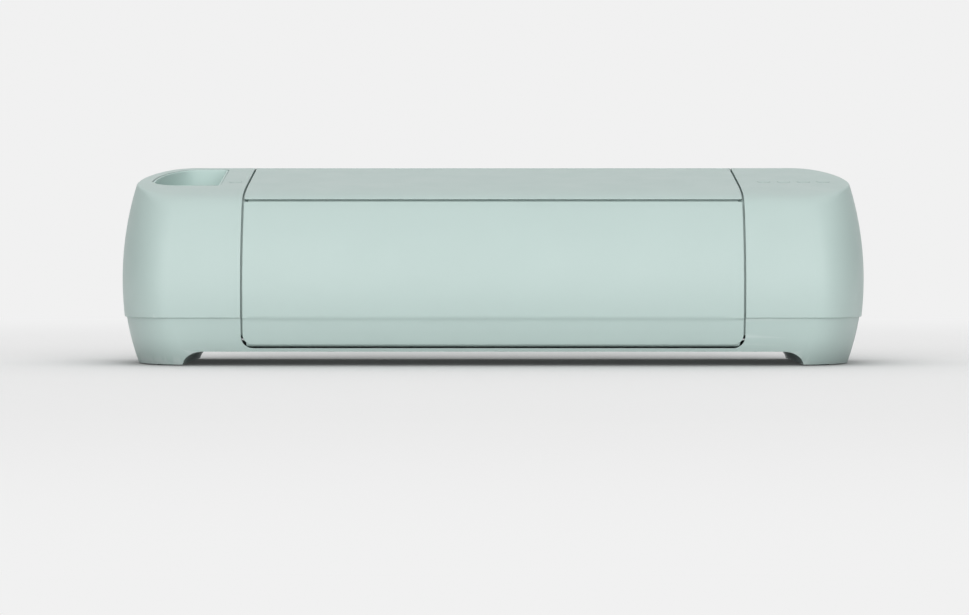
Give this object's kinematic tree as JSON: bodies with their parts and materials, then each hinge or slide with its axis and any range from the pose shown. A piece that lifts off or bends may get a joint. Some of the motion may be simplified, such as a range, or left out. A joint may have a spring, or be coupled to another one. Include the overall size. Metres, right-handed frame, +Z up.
{
  "type": "electronic craft cutting machine",
  "caption": "Desktop craft cutting machine with a hinged lid, a drop-down door, a sliding tool carriage, feed rollers and a tool cup in one end pod.",
  "frame": {"origin": "centre of the bounding box at the level of the feet, which is the table top", "axes": "+X to the right along the length, +Y from the front to the back, +Z up"},
  "size_m": [0.563, 0.178, 0.1499],
  "materials": {
    "mint_shell": "fine satin texture, pale mint",
    "mint_inner": "fine matt texture, slightly deeper mint",
    "charcoal_plastic": "fine matt texture, charcoal",
    "pale_plastic": "satin, pale grey",
    "steel": "ground and plated steel",
    "aluminium": "brushed aluminium",
    "rubber": "matt black rubber",
    "circuit_board": "green solder resist",
    "brass": "machined brass"
  },
  "bodies": {
    "chassis": {"base_tray": "mint_shell", "left_pod_shell": "mint_shell", "right_pod_shell": "mint_shell", "rear_cover": "mint_shell", "tool_cup": "mint_inner", "foot_front_left": "rubber", "foot_front_right": "rubber", "foot_rear_left": "rubber", "foot_rear_right": "rubber", "base_screw_front_left": "steel", "base_screw_front_right": "steel", "base_screw_rear_left": "steel", "base_screw_rear_right": "steel", "left_side_frame": "pale_plastic", "right_side_frame": "pale_plastic", "front_platen": "charcoal_plastic", "rear_platen": "charcoal_plastic", "pinch_arm_left": "steel", "pinch_arm_right": "steel", "feed_motor": "aluminium", "feed_motor_bracket": "steel", "rear_beam": "aluminium", "lower_guide_rod": "steel", "upper_guide_rod": "steel", "carriage_belt": "rubber", "carriage_motor": "aluminium", "idler_axle": "steel", "main_board": "circuit_board", "power_jack": "charcoal_plastic", "usb_port": "aluminium", "button_board": "circuit_board"},
    "lid": {"lid_panel": "mint_shell", "lid_liner": "mint_inner", "lid_pin_left": "steel", "lid_pin_right": "steel"},
    "door": {"door_panel": "mint_shell", "door_liner": "mint_inner", "door_pin_left": "steel", "door_pin_right": "steel"},
    "storage_cover": {"storage_cover": "mint_shell"},
    "drive_roller": {"drive_roller": "steel", "drive_gear": "pale_plastic"},
    "pinch_roller": {"pinch_roller": "rubber"},
    "feed_pinion": {"feed_pinion": "brass"},
    "carriage": {"carriage_body": "charcoal_plastic", "carriage_cover": "mint_shell", "belt_clip": "charcoal_plastic"},
    "motor_pulley": {"motor_pulley": "brass"},
    "idler_pulley": {"idler_pulley": "brass"},
    "tool_holder_a": {"tool_holder_a": "charcoal_plastic", "pen_adaptor": "pale_plastic"},
    "tool_holder_b": {"tool_holder_b": "charcoal_plastic", "blade_housing": "aluminium"},
    "tool_clamp_a": {"tool_clamp_a": "mint_shell"},
    "tool_clamp_b": {"tool_clamp_b": "mint_shell"},
    "open_button": {"open_button": "mint_shell"},
    "power_button": {"power_button": "mint_shell"},
    "load_button": {"load_button": "mint_shell"},
    "go_button": {"go_button": "mint_shell"},
    "pause_button": {"pause_button": "mint_shell"}
  },
  "joints": [
    {"name": "lid_hinge", "type": "hinge", "parent": "chassis", "child": "lid", "pos_m": [0, 0.072, 0.14505], "axis": [-1, 0, 0], "range_deg": [0, 80]},
    {"name": "door_hinge", "type": "hinge", "parent": "chassis", "child": "door", "pos_m": [0, -0.0775, 0.0195], "axis": [1, 0, 0], "range_deg": [0, 92]},
    {"name": "storage_cover_hinge", "type": "hinge", "parent": "door", "child": "storage_cover", "pos_m": [-0.081, -0.067, 0.0762], "axis": [1, 0, 0], "range_deg": [0, 100]},
    {"name": "drive_roller_spin", "type": "hinge", "parent": "chassis", "child": "drive_roller", "pos_m": [0, 0, 0.042], "axis": [1, 0, 0], "continuous": true},
    {"name": "pinch_roller_spin", "type": "hinge", "parent": "chassis", "child": "pinch_roller", "pos_m": [0, 0, 0.0572], "axis": [1, 0, 0], "continuous": true},
    {"name": "feed_pinion_spin", "type": "hinge", "parent": "chassis", "child": "feed_pinion", "pos_m": [0.2, 0.01708, 0.05908], "axis": [1, 0, 0], "continuous": true},
    {"name": "carriage_slide", "type": "slide", "parent": "chassis", "child": "carriage", "axis": [1, 0, 0], "range_m": [-0.146, 0.146]},
    {"name": "motor_pulley_spin", "type": "hinge", "parent": "chassis", "child": "motor_pulley", "pos_m": [0.168, 0.021, 0.092], "axis": [0, 1, 0], "continuous": true},
    {"name": "idler_pulley_spin", "type": "hinge", "parent": "chassis", "child": "idler_pulley", "pos_m": [-0.168, 0.021, 0.092], "axis": [0, 1, 0], "continuous": true},
    {"name": "holder_a_slide", "type": "slide", "parent": "carriage", "child": "tool_holder_a", "axis": [0, 0, -1], "range_m": [0, 0.005]},
    {"name": "holder_b_slide", "type": "slide", "parent": "carriage", "child": "tool_holder_b", "axis": [0, 0, -1], "range_m": [0, 0.005]},
    {"name": "clamp_a_hinge", "type": "hinge", "parent": "tool_holder_a", "child": "tool_clamp_a", "pos_m": [-0.024, -0.0205, 0.0845], "axis": [0, 0, -1], "range_deg": [0, 75]},
    {"name": "clamp_b_hinge", "type": "hinge", "parent": "tool_holder_b", "child": "tool_clamp_b", "pos_m": [0.024, -0.0205, 0.0845], "axis": [0, 0, 1], "range_deg": [0, 75]},
    {"name": "open_button_press", "type": "slide", "parent": "chassis", "child": "open_button", "axis": [0, 0.1512, -0.9885], "range_m": [0, 0.0009], "stiffness_N_per_m": 700, "springref_m": -0.0004},
    {"name": "power_button_press", "type": "slide", "parent": "chassis", "child": "power_button", "axis": [0, 0.1512, -0.9885], "range_m": [0, 0.0009], "stiffness_N_per_m": 700, "springref_m": -0.0004},
    {"name": "load_button_press", "type": "slide", "parent": "chassis", "child": "load_button", "axis": [0, 0.1512, -0.9885], "range_m": [0, 0.0009], "stiffness_N_per_m": 700, "springref_m": -0.0004},
    {"name": "go_button_press", "type": "slide", "parent": "chassis", "child": "go_button", "axis": [0, 0.1512, -0.9885], "range_m": [0, 0.0009], "stiffness_N_per_m": 700, "springref_m": -0.0004},
    {"name": "pause_button_press", "type": "slide", "parent": "chassis", "child": "pause_button", "axis": [0, 0.1512, -0.9885], "range_m": [0, 0.0009], "stiffness_N_per_m": 700, "springref_m": -0.0004}
  ],
  "couplings": [
    {"joint": "pinch_roller_spin", "follows": "drive_roller_spin", "ratio": -1.3333},
    {"joint": "feed_pinion_spin", "follows": "drive_roller_spin", "ratio": -3},
    {"joint": "motor_pulley_spin", "follows": "carriage_slide", "rad_per_m": -144.93},
    {"joint": "idler_pulley_spin", "follows": "carriage_slide", "rad_per_m": -144.93}
  ]
}
